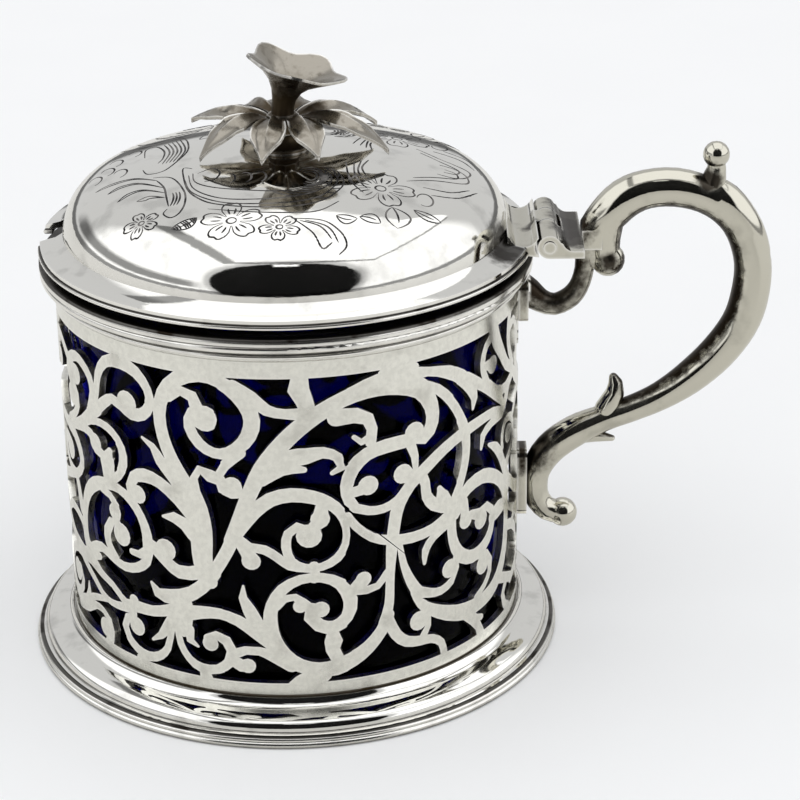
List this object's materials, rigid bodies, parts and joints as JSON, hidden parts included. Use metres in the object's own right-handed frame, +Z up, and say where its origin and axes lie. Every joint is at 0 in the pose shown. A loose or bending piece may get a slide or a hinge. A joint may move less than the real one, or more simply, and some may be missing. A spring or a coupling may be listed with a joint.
{
  "type": "mustard pot",
  "caption": "Cylindrical silver mustard pot with a scroll-pierced drum, deep blue glass liner, hinged domed lid with a flower finial, and a cast scroll handle.",
  "frame": {"origin": "centre of the foot's underside", "axes": "+Z up, +X towards the handle, -Y the front"},
  "size_m": [0.0972, 0.07, 0.0794],
  "materials": {
    "sheet_silver": "polished silver sheet",
    "cast_silver": "polished cast silver",
    "finial_silver": "cast silver, dark in the hollows",
    "cobalt_glass": "deep blue glass"
  },
  "bodies": {
    "pot": {"foot_ring": "sheet_silver", "foot_wire": "sheet_silver", "base_plate": "sheet_silver", "pierced_drum": "sheet_silver", "rim_moulding": "sheet_silver", "upper_pad": "cast_silver", "lower_pad": "cast_silver", "handle": "cast_silver", "hinge_plate": "cast_silver", "hinge_pin": "cast_silver"},
    "lid": {"lid_dome": "sheet_silver", "lid_wire": "sheet_silver", "lid_hinge_plate": "cast_silver", "finial_boss": "finial_silver", "finial_flower": "finial_silver", "leaf_1": "finial_silver", "leaf_2": "finial_silver", "leaf_3": "finial_silver", "leaf_4": "finial_silver", "leaf_5": "finial_silver", "leaf_6": "finial_silver", "leaf_7": "finial_silver", "leaf_8": "finial_silver"},
    "liner": {"glass_liner": "cobalt_glass"}
  },
  "joints": [
    {"name": "lid_hinge", "type": "hinge", "parent": "pot", "child": "lid", "pos_m": [0.0332, 0, 0.0556], "axis": [0, 1, 0], "range_deg": [0, 105]},
    {"name": "liner_lift", "type": "slide", "parent": "pot", "child": "liner", "axis": [0, 0, 1], "range_m": [0, 0.0008]}
  ]
}
